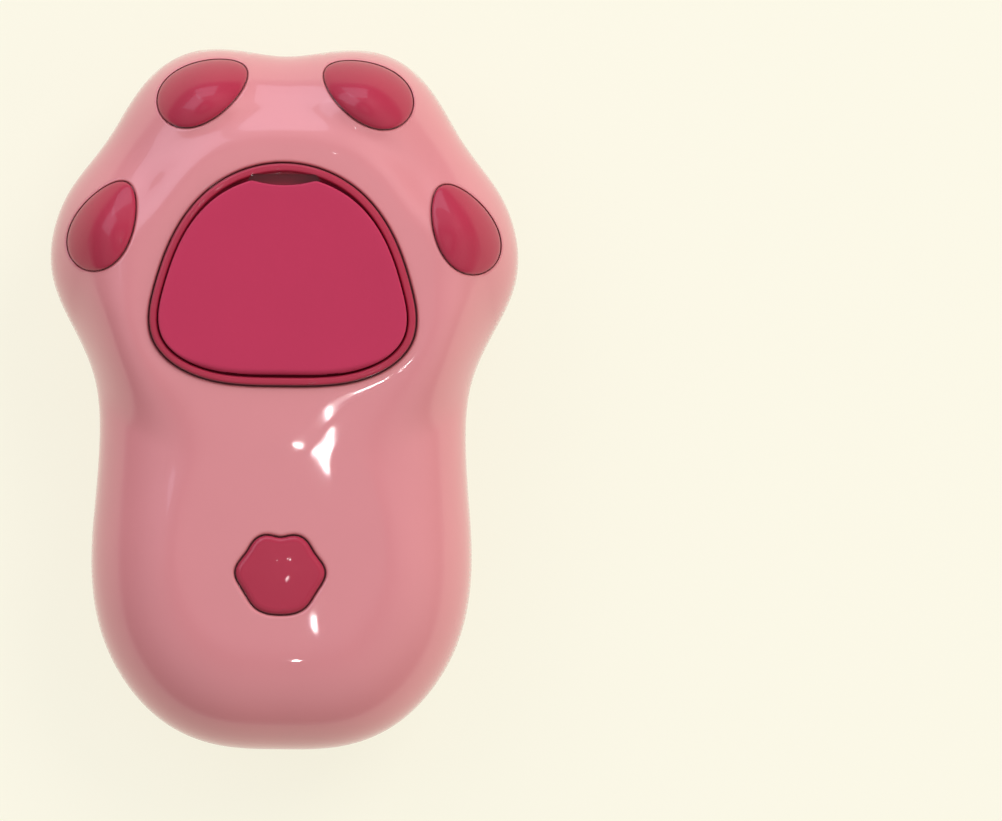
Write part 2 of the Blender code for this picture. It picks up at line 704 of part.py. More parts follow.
def palm_ring():
    """Glossy bezel with a ledge for the lid, a finger recess and two hinge ears."""
    low, shoulder = TANK_TOP + 0.8, 38.1
    section = (
        (-2.0, low), (-2.0, shoulder), (GAP, shoulder), (GAP, PALM_Z + 0.1), (0.6, RING_TOP - 0.25),
        (1.0, RING_TOP), (1.35, RING_TOP - 0.2), (1.7, RING_TOP - 0.9), (1.7, LEDGE_Z), (MOUTH, LEDGE_Z),
        (MOUTH, low),
    )
    ring = loft("palm_ring", [at_height(palm_line(e), z) for e, z in section], MAGENTA_GLOSS, closed=True)
    ears = []
    for side in (-1, 1):
        x0, x1 = sorted((side * (EAR_X - EAR_THICKNESS / 2), side * (EAR_X + EAR_THICKNESS / 2)))
        ears.append(block(
            f"ear_{side}", (x0, HINGE_Y - EAR_RADIUS, LEDGE_Z - 1), (x1, HINGE_Y + EAR_RADIUS, HINGE_Z),
        ))
        ears.append(rod(
            f"ear_eye_{side}", EAR_RADIUS, (x0 + 0.02, HINGE_Y, HINGE_Z), (x1 - 0.02, HINGE_Y, HINGE_Z),
            helper=True, sides=16,
        ))
    combine(ring, ears, "UNION")
    ends = (-EAR_X - 2, HINGE_Y, HINGE_Z), (EAR_X + 2, HINGE_Y, HINGE_Z)
    eye = rod("ring_pin_hole", 0.65, *ends, helper=True)
    recess = block("finger_recess", (-7.0, 41.9, LEDGE_Z - 1.6), (7.0, 44.7, LEDGE_Z + 3))
    return combine(ring, [eye, recess], "DIFFERENCE")


def lid_line(inset, count=40):
    """Outline of the lid: a little further in at the tail and more at the toe end."""
    angle = -np.arange(count) * 2 * math.pi / count
    towards = np.cos(angle)
    extra = np.where(towards > 0, 0.75 * towards**4, 0.35 * towards**2)
    radius = palm_radius(angle) - (LID_INSET + extra + inset) * stretch(palm_radius, angle)
    return np.stack([radius * np.sin(angle), PALM_MIDDLE_Y + radius * np.cos(angle)], axis=1)


def fill_cap():
    """Lid plate with a rounded top edge, a finger notch and pockets for the hinge ears."""
    section = (
        (4.0, LID_BOTTOM), (0.0, LID_BOTTOM), (0.0, LID_TOP - 1.0), (0.3, LID_TOP - 0.3),
        (1.0, LID_TOP),
    )
    middle = (0.0, PALM_MIDDLE_Y)
    lid = loft(
        "fill_cap", [at_height(lid_line(e), z) for e, z in section], LID_MATTE,
        tips=((*middle, LID_BOTTOM), (*middle, LID_TOP)),
    )
    notch = (0, NOTCH_Y + NOTCH_RADIUS)
    cuts = [
        drum("finger_notch", NOTCH_RADIUS, LID_BOTTOM - 2, LID_TOP + 2, notch, 64, helper=True)
    ]
    for side in (-1, 1):
        inner, outer = EAR_X - EAR_THICKNESS / 2 - GAP, EAR_X + EAR_THICKNESS / 2 + GAP
        x0, x1 = sorted((side * inner, side * outer))
        cuts.append(block(f"ear_pocket_{side}", (x0, 0.0, LID_BOTTOM - 1), (x1, 8.0, HINGE_Z + 1.25)))
    cuts.append(rod(
        "lid_pin_hole", 0.8, (-EAR_X, HINGE_Y, HINGE_Z), (EAR_X, HINGE_Y, HINGE_Z), helper=True
    ))
    combine(lid, cuts, "DIFFERENCE")
    plug = [palm_line(MOUTH + 0.6), palm_line(MOUTH + 2.4)]
    plate("cap_seal", plug, LEDGE_Z - 1.9, LID_BOTTOM - 0.1, DARK_RUBBER)
    rod("cap_hinge_pin", 0.5, (-EAR_X - 0.7, HINGE_Y, HINGE_Z), (EAR_X + 0.7, HINGE_Y, HINGE_Z), STEEL)
    return lid


# ---------------------------------------------------------------- pump button


def button_line(grow, count=32):
    return outline(button_radius, -grow, BUTTON_Y, count)


def pump():
    """Button with its spring, the rubber bulb it presses, and the two parts that hold the bulb."""
    at = (0.0, BUTTON_Y)
    flange_low = BUTTON_FLANGE_Z - BUTTON_FLANGE
    rings = [
        at_height(button_line(BUTTON_FLANGE), flange_low),
        at_height(button_line(BUTTON_FLANGE), BUTTON_FLANGE_Z),
        at_height(button_line(0.0), BUTTON_FLANGE_Z), on_shell(button_line(0.0), 0.0),
        on_shell(button_line(-0.5), 0.4), on_shell(button_line(-1.6), 0.65),
    ]
    top = float(height(0.0, BUTTON_Y)) + 0.8
    button = loft("button", rings, MAGENTA_GLOSS, tips=((*at, flange_low), (*at, top)))
    stem = drum("button_stem", 3.0, BULB_TOP + 0.2, BUTTON_FLANGE_Z - 0.5, at, 16, helper=True)
    combine(button, [stem], "UNION")
    turned("pump_bulb", (
        (0.0, BULB_TOP), (7.0, BULB_TOP), (8.5, BULB_TOP - 1.4), (8.5, 22.7), (11.8, 22.7), (11.8, 21.7),
        (7.5, 21.7), (7.5, BULB_TOP - 1.7), (6.6, BULB_TOP - 1.1), (0.0, BULB_TOP - 1.1),
    ), DARK_RUBBER, at, closed=False)
    turned("pump_cover", (
        (3.5, PUMP_TOP), (12.6, PUMP_TOP), (12.6, 23.0), (13.4, 23.0), (13.4, 21.7), (12.1, 21.7),
        (12.1, 23.0), (10.8, 23.0), (10.8, PUMP_TOP - 1.2), (3.5, PUMP_TOP - 1.2),
    ), INNER_PLASTIC, at)
    base = drum("pump_base", 13.2, CARRIER_TOP + GAP, PUMP_BASE_TOP, at, 24, INNER_PLASTIC)
    ends = (0, BUTTON_Y + 12, NIPPLE_Z), (0, BUTTON_Y + 15.5, NIPPLE_Z)
    nipple = rod("pump_nipple", 0.85, *ends, helper=True)
    combine(base, [nipple], "UNION")
    valve_hole = drum("valve_hole", 1.1, CARRIER_TOP - 1, PUMP_BASE_TOP + 1, at, 12, helper=True)
    combine(base, [valve_hole], "DIFFERENCE")
    turned("air_inlet_valve", (
        (0.0, 22.4), (2.4, 22.1), (2.4, 21.7), (0.8, 21.7), (0.8, CARRIER_TOP + GAP + 0.1),
        (0.0, CARRIER_TOP + GAP + 0.1),
    ), DARK_RUBBER, at, 12, closed=False)
    coil("button_spring", 5.0, 0.5, PUMP_BASE_TOP + 0.2, BULB_TOP - 1.3, 5, at, SPRING_STEEL)


def air_tube():
    """Soft tube from the pump to the tank, along a smooth curve with level ends."""
    start = np.array((0.0, BUTTON_Y + 15.8, NIPPLE_Z + 0.6))
    end = np.subtract(AIR_INLET, (0.0, 0.4, 0.0))
    reach = np.array((0.0, 9.0, 0.0))
    curve = bpy.data.curves.new("air_tube", "CURVE")
    curve.dimensions = "3D"
    curve.bevel_depth = 1.4 * MM
    curve.bevel_resolution = 2
    curve.use_fill_caps = True
    spline = curve.splines.new("POLY")
    steps = 12
    spline.points.add(steps)
    for i in range(steps + 1):
        t = i / steps
        point = (
            (1 - t) ** 3 * start + 3 * (1 - t) ** 2 * t * (start + reach)
            + 3 * (1 - t) * t**2 * (end - reach) + t**3 * end
        )
        spline.points[i].co = (*(point * MM), 1.0)
    return mesh_object("air_tube", curve, CLEAR_SILICONE)


def carry(name, at, children):
    """Empty on a joint's axis, as the parent of the pieces that move with it."""
    pivot = bpy.data.objects.new(name, None)
    pivot.location = tuple(np.multiply(at, MM))
    pieces.objects.link(pivot)
    bpy.context.view_layer.update()
    for child in children:
        piece = pieces.objects[child]
        piece.parent = pivot
        piece.matrix_parent_inverse = pivot.matrix_world.inverted()


top_shell()
bottom_shell()
toe_pads()
pad_carrier()
housing_screws()
brush_pad()
roller_valve()
reservoir_tub()
plate("tank_gasket", [palm_line(-1.2), palm_line(1.0)], TANK_TOP + 0.2, TANK_TOP + 0.6, DARK_RUBBER)
palm_ring()
fill_cap()
pump()
air_tube()
carry("lid_hinge_axis", (0.0, HINGE_Y, HINGE_Z), ("fill_cap", "cap_seal"))
carry("button_slide_axis", (0.0, BUTTON_Y, BUTTON_FLANGE_Z), ("button",))
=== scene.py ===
# %% [markdown]
# # Paw-shaped bath brush
# The brush is a glossy two-part shell with a silicone bristle pad under it, a shampoo tank behind a
# soft lid, a pump button and a steel roller ball. The engineering model gives every part's place
# and motion. This notebook gives the parts you see a fine surface and a finish. The engineering
# solids are coarse, so they could be smoothed, but a surface worked out from a formula keeps its
# gaps exact, so that way was chosen. All sizes are in millimetres until `MM` makes them metres.

import json
import math

import bmesh
import bpy
import numpy as np
from mathutils import Euler, Matrix, Vector
from mathutils.geometry import delaunay_2d_cdt

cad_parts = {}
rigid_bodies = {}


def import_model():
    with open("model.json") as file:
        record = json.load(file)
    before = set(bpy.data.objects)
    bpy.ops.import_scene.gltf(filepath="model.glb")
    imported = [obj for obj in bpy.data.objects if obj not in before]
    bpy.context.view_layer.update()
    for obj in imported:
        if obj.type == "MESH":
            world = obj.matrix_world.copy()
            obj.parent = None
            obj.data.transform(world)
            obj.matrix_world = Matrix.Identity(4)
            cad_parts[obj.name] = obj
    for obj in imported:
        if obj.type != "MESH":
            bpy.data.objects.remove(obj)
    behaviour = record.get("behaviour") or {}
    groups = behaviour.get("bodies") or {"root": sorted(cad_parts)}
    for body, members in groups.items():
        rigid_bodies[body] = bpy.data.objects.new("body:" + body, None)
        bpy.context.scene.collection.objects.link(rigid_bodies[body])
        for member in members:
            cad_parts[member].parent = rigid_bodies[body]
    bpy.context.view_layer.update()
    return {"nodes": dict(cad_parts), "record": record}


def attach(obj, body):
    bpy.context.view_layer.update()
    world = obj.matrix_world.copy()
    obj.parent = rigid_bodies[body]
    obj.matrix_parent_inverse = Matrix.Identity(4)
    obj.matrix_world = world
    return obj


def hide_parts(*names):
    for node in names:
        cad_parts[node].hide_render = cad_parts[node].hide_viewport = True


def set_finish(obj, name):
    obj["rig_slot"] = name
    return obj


MM = 0.001
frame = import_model()

# %% [markdown]
# ## Outlines
# Seen from above, the paw, the palm and the button are smooth symmetric outlines. They could be
# Bezier curves, but a distance from a middle point that depends on the angle, `R(a)`, also tells how
# far any point is from the edge. A cubic spline runs through a few (degrees, distance) pairs. Its
# slope is zero at 0 and at 180 degrees, so the outline can be mirrored without a kink.

# %% Spline through a few distances


def even_curve(points):
    """Cubic spline S through (degrees, value) points with S'(0) = S'(180) = 0, used as S(|a|)."""
    knots = np.radians([p[0] for p in points])
    values = np.array([p[1] for p in points], float)
    step = np.diff(knots)
    slope = np.diff(values) / step
    count = len(knots)
    left, right = np.zeros((count, count)), np.zeros(count)
    left[0, :2] = 2 * step[0], step[0]
    left[-1, -2:] = step[-1], 2 * step[-1]
    right[0], right[-1] = 6 * slope[0], -6 * slope[-1]
    for i in range(1, count - 1):
        left[i, i - 1 : i + 2] = step[i - 1], 2 * (step[i - 1] + step[i]), step[i]
        right[i] = 6 * (slope[i] - slope[i - 1])
    bend = np.linalg.solve(left, right)

    def value(angle):
        """Cubic between the two knots round |angle|, from their values and second derivatives."""
        angle = np.abs((np.asarray(angle, float) + np.pi) % (2 * np.pi) - np.pi)
        i = np.clip(np.searchsorted(knots, angle, side="right") - 1, 0, count - 2)
        a, b, h = knots[i + 1] - angle, angle - knots[i], step[i]
        return (
            (bend[i] * a**3 + bend[i + 1] * b**3) / (6 * h)
            + (values[i] / h - bend[i] * h / 6) * a
            + (values[i + 1] / h - bend[i + 1] * h / 6) * b
        )

    return value


print("spline through 1, 2, 1 at 90 degrees:", even_curve([(0, 1), (90, 2), (180, 1)])(np.pi / 2))

# %% [markdown]
# The paw's own outline is stated next, with the palm's and the button's. The fine shell is drawn
# `TRIM` inside the outline of the engineering model, so that no part of it stands outside.

# %% Outlines of the paw, the palm and the button
TRIM = 0.19
BODY_OUTLINE = (
    (0, 68.6), (8, 70.4), (15, 71.8), (21, 70.6), (27, 67.2), (33, 63.4), (39, 61.2), (46, 59.7),
    (54, 57.0), (63, 51.8), (72, 44.0), (81, 38.9), (90, 37.0), (99, 37.1), (108, 38.7),
    (120, 43.3), (132, 51.1), (142, 58.6), (152, 64.9), (161, 68.8), (170, 70.1), (180, 69.75),
)
body_radius = even_curve([(degrees, r - TRIM) for degrees, r in BODY_OUTLINE])
palm_radius = even_curve((
    (0, 25.1), (38, 24.7), (68, 24.4), (90, 25.7), (111, 27.8), (133, 25.0), (154, 21.3),
    (180, 19.4),
))
button_radius = even_curve((
    (0, 7.3), (20, 8.2), (36, 8.4), (55, 7.9), (70, 8.25), (88, 8.8), (104, 8.15), (122, 7.75),
    (142, 8.05), (163, 7.95), (180, 7.8),
))
PALM_Y, BUTTON_Y, BALL_Y = 22.0, -34.6, 8.4  # middles along the brush
print("waist", 2 * body_radius(np.pi / 2).round(1), "palm width", 2 * palm_radius(np.pi / 2).round(1))

# %% [markdown]
# A toe pad is an egg. An ellipse whose width shrinks towards one end, `sin t (1 - k cos t)`, is
# enough for it. The other helpers turn an outline into points and move it inwards.

# %% Rings and eggs
TOES = ((16.3, 61.2, 152.0), (35.6, 34.3, 118.0))  # middle x, y and direction of the narrow end
EGG_LENGTH, EGG_WIDTH, EGG_TAPER = 9.4, 5.7, 0.22


def turn(count):
    """Angles a_k = -2 pi k / count, so that a loop runs anticlockwise seen from above."""
    return -np.arange(count) * 2 * np.pi / count


def stretch(radius_at, angle):
    """sqrt(1 + (R'/R)^2): a radial step divided by the step square to the outline."""
    rate = (radius_at(angle + 0.01) - radius_at(angle - 0.01)) / 0.02
    return np.sqrt(1 + (rate / radius_at(angle)) ** 2)


def ring(radius_at, inset, middle_y=0.0, count=360):
    """(x, y) = (r sin a, y0 + r cos a) with r = R(a) - inset * stretch(a)."""
    angle = turn(count)
    r = radius_at(angle) - inset * stretch(radius_at, angle)
    return np.stack([r * np.sin(angle), middle_y + r * np.cos(angle)], axis=1)


def egg(x, y, degrees, grow=0.0, count=144):
    """Toe pad outline: (L cos t, W sin t (1 - taper cos t)) + grow, turned by its direction."""
    t = np.arange(count) * 2 * np.pi / count
    along = (EGG_LENGTH + grow) * np.cos(t)
    across = (EGG_WIDTH + grow) * np.sin(t) * (1 - EGG_TAPER * np.cos(t))
    c, s = math.cos(math.radians(degrees)), math.sin(math.radians(degrees))
    return np.stack([x + along * c - across * s, y + along * s + across * c], axis=1)


toes = [(-x, y, 180 - d) for x, y, d in reversed(TOES)] + list(TOES)
print("outline", ring(body_radius, 0).min(0).round(1), ring(body_radius, 0).max(0).round(1))

# %% [markdown]
# ## The shell as a height over the ground
# The top of the shell could be sculpted, but then the toes, the button and the bezel would have to
# be fitted to it by eye. Here it is one function `z(x, y)` that they all read. A rounded shoulder
# rises from the seam, a low crown lies over it, each toe adds a swelling, a valley runs between the
# toes and the palm, and the palm sits on a flat mound.

# %% Height function
SEAM_Z, SHOULDER_RISE, SHOULDER_WIDTH, SHOULDER_POWER = 22.0, 16.5, 22.0, 2.2
CROWN_RISE, CROWN_HALF_WIDTH, CROWN_HALF_LENGTH = 3.2, 47.0, 95.0
VALLEY_DEPTH, VALLEY_FROM_PALM, VALLEY_WIDTH = 1.6, 9.0, 3.5
TOE_SWELL, TOE_REACH = 2.4, 11.0
MOUND_Z, MOUND_START, MOUND_END = 41.6, 1.5, 15.0


def edge_distance(radius_at, x, y, middle_y=0.0):
    """(R(a) - r) / stretch(a): distance inwards from an outline."""
    angle = np.arctan2(x, y - middle_y)
    return (radius_at(angle) - np.hypot(x, y - middle_y)) / stretch(radius_at, angle)


def fade(value, start, end):
    """1 - t^2 (3 - 2 t) with t = (value - start) / (end - start), kept between 0 and 1."""
    t = np.clip((value - start) / (end - start), 0.0, 1.0)
    return 1 - t * t * (3 - 2 * t)


def height(x, y):
    """z = seam + rise * (shoulder + crown - valley + toes), blended into the mound near the palm.

    rise = (1 - (1 - t)^p)^(1/p), with t the distance from the edge over the shoulder's width.
    The crown is a low dome, 1 - (x/a)^2 times 1 - (y/b)^2. Valley and toes are bell curves.
    """
    t = np.clip(edge_distance(body_radius, x, y) / SHOULDER_WIDTH, 0.0, 1.0)
    rise = (1 - (1 - t) ** SHOULDER_POWER) ** (1 / SHOULDER_POWER)
    extra = CROWN_RISE * (1 - (x / CROWN_HALF_WIDTH) ** 2) * (1 - (y / CROWN_HALF_LENGTH) ** 2)
    outside = -edge_distance(palm_radius, x, y, PALM_Y)
    toe_side = 1 - fade(np.cos(np.arctan2(x, y - PALM_Y)), 0.0, 0.6)
    valley = np.exp(-(((outside - VALLEY_FROM_PALM) / VALLEY_WIDTH) ** 2))
    extra = extra - VALLEY_DEPTH * toe_side * valley
    for toe_x, toe_y, _ in toes:
        extra = extra + TOE_SWELL * np.exp(-2 * ((x - toe_x) ** 2 + (y - toe_y) ** 2) / TOE_REACH**2)
    mound = fade(outside, MOUND_START, MOUND_END)
    return (SEAM_Z + rise * (SHOULDER_RISE + extra)) * (1 - mound) + MOUND_Z * mound


def lifted(points, offset=0.0):
    """Points (x, y, z(x, y) + offset)."""
    return np.column_stack([points, height(points[:, 0], points[:, 1]) + offset])


def level(points, z):
    """Points (x, y, z) at one height."""
    return np.column_stack([points, np.full(len(points), float(z))])


print("shell over the middle", round(float(height(np.array(0.0), np.array(0.0))), 2), "high")

# %% [markdown]
# ## Skins
# Every piece below is a skin: a grid of points with two parameters, the row and the place along it.
# Rows that close on themselves make a tube, and a tip closes each end. Spin or a curve's bevel could
# make the round ones, but one way for all of them is easier to follow. `add` puts the finished mesh
# on its body and hides the engineering nodes it stands for.

# %% Put a piece on its body
collection = bpy.data.collections.new("bath_brush")
bpy.context.scene.collection.children.link(collection)


def add(name, points, faces, body, nodes, slot, smooth_angle=40.0):
    """Mesh object made from numpy arrays, riding on a body in place of its nodes."""
    mesh = bpy.data.meshes.new(name)
    mesh.from_pydata((np.asarray(points) * MM).tolist(), [], [list(f) for f in faces])
    mesh.shade_smooth()
    mesh.set_sharp_from_angle(angle=math.radians(smooth_angle))
    obj = bpy.data.objects.new(name, mesh)
    collection.objects.link(obj)
    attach(obj, body)
    if nodes:
        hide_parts(*nodes)
    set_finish(obj, slot)
    return obj


print("collection", collection.name)

# %% [markdown]
# The faces of a skin follow from its grid, so they are worked out for the whole grid at once.

# %% Faces of a skin


def grid_faces(rows, around, wrap=False):
    """Quads (i, j), (i, j+1), (i+1, j+1), (i+1, j) with j closed, and i closed if wrap."""
    i = np.arange(rows if wrap else rows - 1)[:, None] * around
    j = np.arange(around)[None, :]
    k = (j + 1) % around
    up = (i + around) % (rows * around)
    return np.stack([i + j, i + k, up + k, up + j], axis=-1).reshape(-1, 4)


def skin(rows, tips=None, wrap=False):
    """Points and faces of a tube of rows. tips are the two points that close its ends."""
    rows = np.asarray(rows)
    count, around = rows.shape[:2]
    points = rows.reshape(-1, 3)
    faces = grid_faces(count, around, wrap).tolist()
    if tips is not None:
        points = np.vstack([points, tips])
        j = np.arange(around)
        k = (j + 1) % around
        first, last, end = count * around, count * around + 1, (count - 1) * around
        faces += np.stack([np.full(around, first), k, j], axis=1).tolist()
        faces += np.stack([np.full(around, last), end + j, end + k], axis=1).tolist()
    return points, faces


print("grid of 3 rows of 4 points:", len(grid_faces(3, 4)), "faces")

# %% [markdown]
# Round pieces come from a profile of (radius, height) pairs carried round an upright axis. Rounded
# edges in a profile are arcs.

# %% Turned profiles and arcs


def turned(profile, at=(0.0, BALL_Y), around=96):
    """Ring of points (r cos a, r sin a, z) for each (r, z) of a profile."""
    angle = np.arange(around) * 2 * np.pi / around
    r, z = np.asarray(profile, float).T
    x = at[0] + r[:, None] * np.cos(angle)
    y = at[1] + r[:, None] * np.sin(angle)
    return np.stack([x, y, np.repeat(z[:, None], around, axis=1)], axis=-1)


def arc(centre, size, start, end, count):
    """Points centre + size * (cos a, sin a) from start to end degrees."""
    a = np.radians(np.linspace(start, end, count))
    return np.stack([centre[0] + size[0] * np.cos(a), centre[1] + size[1] * np.sin(a)], axis=1)


print("quarter arc:", arc((0, 0), (1, 1), 0, 90, 3).round(2).tolist())

# %% [markdown]
# ## Top shell
# The glossy top shell is open at the palm, the button and the four toes. Boolean cuts would leave
# ragged triangles along the openings, where the gloss shows every kink. Instead its points lie on
# rings round each opening, on rings inside the outer edge and on an even field between them, and a
# Delaunay mesh joins them. Three helpers move a line outwards and sort points by a line.

# %% Helpers for closed lines


def moved_out(line, d):
    """Points of a closed line moved by d along (dy, -dx), its outward direction."""
    step = np.roll(line, -1, axis=0) - np.roll(line, 1, axis=0)
    normal = np.stack([step[:, 1], -step[:, 0]], axis=1)
    return line + d * normal / np.linalg.norm(normal, axis=1, keepdims=True)


def inside(points, line):
    """Even-odd rule: True where a ray towards +x crosses the closed line an odd number of times."""
    (x0, y0), (x1, y1) = line.T, np.roll(line, -1, axis=0).T
    px, py = points[:, :1], points[:, 1:]
    crosses = ((y0 > py) != (y1 > py)) & (px < (x1 - x0) * (py - y0) / (y1 - y0 + 1e-12) + x0)
    return crosses.sum(1) % 2 == 1


def gap_to(points, line):
    """Distance from each point to the nearest point of a line."""
    return np.sqrt(((points[:, None] - line[None]) ** 2).sum(-1).min(1))


print("moved out:", moved_out(ring(palm_radius, 0.0), 1.0).max(0).round(1))

# %% [markdown]
# The even field has points 1 mm apart in staggered rows. The rings inside the outer edge stand
# closer together where the shoulder is steep. Points too near an opening are dropped.

# %% Field of points for the top shell
PALM_ROLL, BUTTON_ROLL = 0.6, 0.75  # radius that rolls the surface down into an opening
BUTTON_GAP, TOE_GAP = 0.3, 0.3
AWAY = np.array((0.0, 0.05, 0.12, 0.22, 0.36, 0.52, 0.7, 0.95, 1.3, 1.75, 2.3))
AROUND, SPACING = 400, 1.0

openings = [
    (ring(palm_radius, 0.0, PALM_Y, 360), PALM_ROLL),
    (ring(button_radius, -BUTTON_GAP, BUTTON_Y, 150), BUTTON_ROLL),
    *[(egg(*toe, grow=TOE_GAP), PALM_ROLL) for toe in toes],
]
u = np.linspace(0.0, 0.6, 25)
edge_insets = SHOULDER_WIDTH * (1 - np.cos(u * np.pi / 2) ** (2 / SHOULDER_POWER))
edge_rings = [ring(body_radius, inset, count=AROUND) for inset in edge_insets]
gx, gy = np.meshgrid(np.arange(-48, 48, SPACING), np.arange(-72, 72, SPACING * 0.866))
gx = gx + SPACING / 2 * (np.arange(gx.shape[0]) % 2)[:, None]
field = np.stack([gx.ravel(), gy.ravel()], axis=1)
field = field[inside(field, edge_rings[-1])]
field = field[gap_to(field, edge_rings[-1]) > 0.6]
loose = np.vstack([*edge_rings[1:], field])
for line, _ in openings:
    loose = loose[~inside(loose, line) & (gap_to(loose, line) > AWAY[-1] + 0.45)]
print("free points:", len(loose))

# %% [markdown]
# Round an opening the surface rolls down by a quarter circle of radius `q`: at distance `d` it drops
# by `q - sqrt(q^2 - (q - d)^2)`. Beside a toe pocket the wall also has to get thinner, so each point
# carries a share of the wall's full thickness.

# %% Rings round the openings
flat, drop, loops = [edge_rings[0]], [np.zeros(AROUND)], [np.arange(AROUND)]
thick = [np.ones(AROUND)]
for number, (line, q) in enumerate(openings):
    is_toe = number >= 2
    for d in AWAY:
        if d == 0.0:
            loops.append(sum(map(len, flat)) + np.arange(len(line)))
        flat.append(moved_out(line, d))
        drop.append(np.full(len(line), q - math.sqrt(q * q - max(q - d, 0.0) ** 2)))
        thick.append(np.full(len(line), d / AWAY[-1] if is_toe else 1.0))
flat.append(loose)
drop.append(np.zeros(len(loose)))
thick.append(np.ones(len(loose)))
flat, drop, thick = np.vstack(flat), np.concatenate(drop), np.concatenate(thick)
print("points in all:", len(flat))

# %% [markdown]
# The Delaunay mesh keeps the edges of the openings as they are given. Triangles outside the paw or
# inside an opening are dropped, and each of the rest is turned to run anticlockwise, so that it
# faces up.

# %% Join the points
edges = [(int(a), int(b)) for loop in loops for a, b in zip(loop, np.roll(loop, -1))]
found = delaunay_2d_cdt([Vector(p) for p in flat], edges, [], 0, 1e-6)
plane = np.array([v[:] for v in found[0]])
source = np.array([ids[0] if ids else 0 for ids in found[3]])
tris = np.array(found[2])
middle = plane[tris].mean(1)
keep = inside(middle, edge_rings[0])
for line, _ in openings:
    keep &= ~inside(middle, line)
tris = tris[keep]
cross = np.cross(plane[tris[:, 1]] - plane[tris[:, 0]], plane[tris[:, 2]] - plane[tris[:, 0]])
tris[cross < 0] = tris[cross < 0][:, ::-1]
print("triangles:", len(tris))

# %% [markdown]
# Now the flat mesh is lifted to its height, a wall goes down from the edge of each opening, and each
# toe gets a pocket with a floor for its pad. Solidify gives the open surface its thickness inwards,
# because the shell is a moulding 2 mm thick.

# %% Lift the shell and give it walls
EDGE_Z, WALL = 22.15, 2.0
OPENING_DEPTH, POCKET_DEPTH, POCKET_FLOOR = 2.4, 1.0, -1.6

top = lifted(plane)
top[:, 2] -= drop[source]
place_of = np.empty(len(flat), int)
place_of[source] = np.arange(len(plane))
top[place_of[loops[0]], 2] = EDGE_Z
points, faces, weights = [top], [tuple(t) for t in tris], [thick[source]]
total = len(top)
for number, loop in enumerate(loops[1:]):
    rim, line = place_of[loop], openings[number][0]
    count, is_toe = len(line), number >= 2
    depth = POCKET_DEPTH if is_toe else OPENING_DEPTH
    walls = [np.column_stack([top[rim, :2], top[rim, 2] - depth * s]) for s in (0.15, 0.5, 1.0)]
    if is_toe:
        centre = np.array(toes[number - 2][:2])
        walls += [lifted(centre + (line - centre) * s, POCKET_FLOOR) for s in (0.92, 0.7, 0.4, 0.1)]
    points += walls
    weights.append(np.full(count * len(walls), 0.0 if is_toe else 1.0))
    j = np.arange(count)
    k = (j + 1) % count
    faces += np.stack([rim[j], rim[k], total + k, total + j], axis=1).tolist()
    faces += (grid_faces(len(walls), count) + total).tolist()
    total += count * len(walls)
points, weights = np.vstack(points), np.concatenate(weights)
top_shell = add("top_shell_fine", points, faces, "housing", ["top_shell"], "pink_gloss_shell", 60)
group = top_shell.vertex_groups.new(name="thick")
for share in np.unique(weights):
    group.add(np.flatnonzero(weights == share).tolist(), float(share), "REPLACE")
wall = top_shell.modifiers.new("wall", "SOLIDIFY")
wall.thickness = WALL * MM
wall.offset = -1.0
wall.vertex_group = group.name
wall.thickness_vertex_group = 0.1
print("top shell:", len(top_shell.data.polygons), "faces before its wall")

# %% [markdown]
# ## Bottom shell
# The rim under the seam turns under to the brush pad. It has the same section all the way round, so
# it is one closed section of (inset, height) pairs swept round the outline. Its outside is a quarter
# of an ellipse.

# %% Bottom shell
curl = arc((3.4, 21.85), (3.4, 7.45), 180, 270, 22)
section = np.vstack([
    curl, arc((3.6, 15.4), (1.0, 1.0), -80, 0, 8),
    [(4.6, 19.6), (9.0, 19.6), (9.0, 21.2), (2.6, 21.2), (2.6, 21.85)],
])
rows = [level(ring(body_radius, inset, count=AROUND), z) for inset, z in section[::-1]]
points, faces = skin(rows, wrap=True)
add("bottom_shell_fine", points, faces, "housing", ["bottom_shell"], "pink_gloss_shell")
print("bottom shell section:", len(section), "points")

# %% [markdown]
# ## Toe pads
# Each toe pad is a glossy bean pressed into its pocket. A squashed sphere would not follow the
# curved shell. So the egg outline shrinks by `cos v` while it rises by `sin v` above the shell's own
# height, and the dome follows the shell.

# %% Toe pads
PAD_SINK, PAD_EDGE, PAD_DOME = 1.3, 0.1, 1.55

for number, (x, y, degrees) in enumerate(toes, start=1):
    centre = np.array((x, y))
    rim = egg(x, y, degrees, grow=0.12)
    rows = [lifted(centre + (rim - centre) * 0.5, -PAD_SINK)]
    rows += [lifted(rim, above) for above in (-PAD_SINK, -0.6, PAD_EDGE)]
    for v in np.linspace(0, 0.485 * np.pi, 26)[1:]:
        shrunk = centre + (rim - centre) * np.cos(v)
        rows.append(lifted(shrunk, PAD_EDGE + PAD_DOME * np.sin(v) ** 0.9))
    tips = [lifted(centre[None], above)[0] for above in (-PAD_SINK, PAD_EDGE + PAD_DOME)]
    points, faces = skin(rows, tips=tips)
    add(f"toe_pad_{number}_fine", points, faces, "housing", [f"toe_pad_{number}"], "magenta_gloss")
print("toe pads:", len(toes))

# %% [markdown]
# ## Bezel
# The bezel is the glossy ring round the palm, with a ledge inside that the lid rests on. It is a
# section swept round the palm outline. Its crown is half of a squarish ellipse, where the power 0.6
# of sine and cosine makes the shoulders fuller than a circle's.

# %% Bezel round the palm
CROWN_X, CROWN_Z, CROWN_WIDTH, CROWN_HEIGHT, CROWN_POWER = 1.08, 41.7, 0.79, 1.2, 0.6

